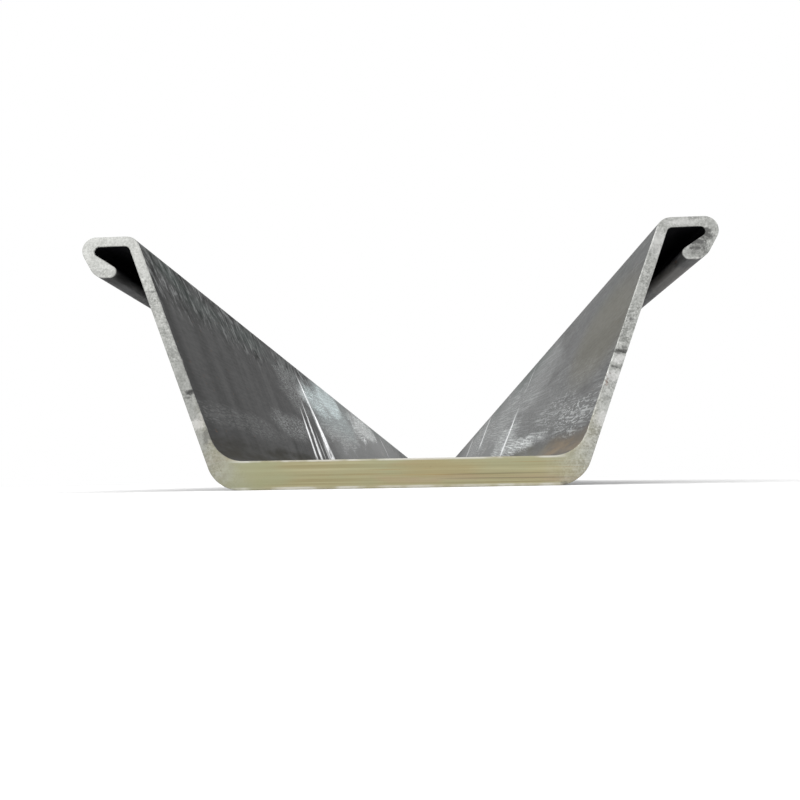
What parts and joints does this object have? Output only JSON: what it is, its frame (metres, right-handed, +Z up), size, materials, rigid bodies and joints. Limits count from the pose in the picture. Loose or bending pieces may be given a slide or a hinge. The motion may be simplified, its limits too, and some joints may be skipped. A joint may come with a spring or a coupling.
{
  "type": "steel sheet pile",
  "caption": "Long hot-rolled U-section steel sheet pile with a thick flat pan, sloping webs and a hooked clutch along each edge that slides into the next pile.",
  "frame": {"origin": "under the middle of the pan, halfway along the length, where the pile meets the floor", "axes": "+Y along the length, +X across the width, +Z up out of the open side"},
  "size_m": [0.549, 6, 0.2235],
  "materials": {
    "rolled_steel": "dark mill scale with rub marks and faint rust, ends saw-cut to bare metal"
  },
  "bodies": {
    "root": {"sheet_pile": "rolled_steel"}
  },
  "joints": []
}
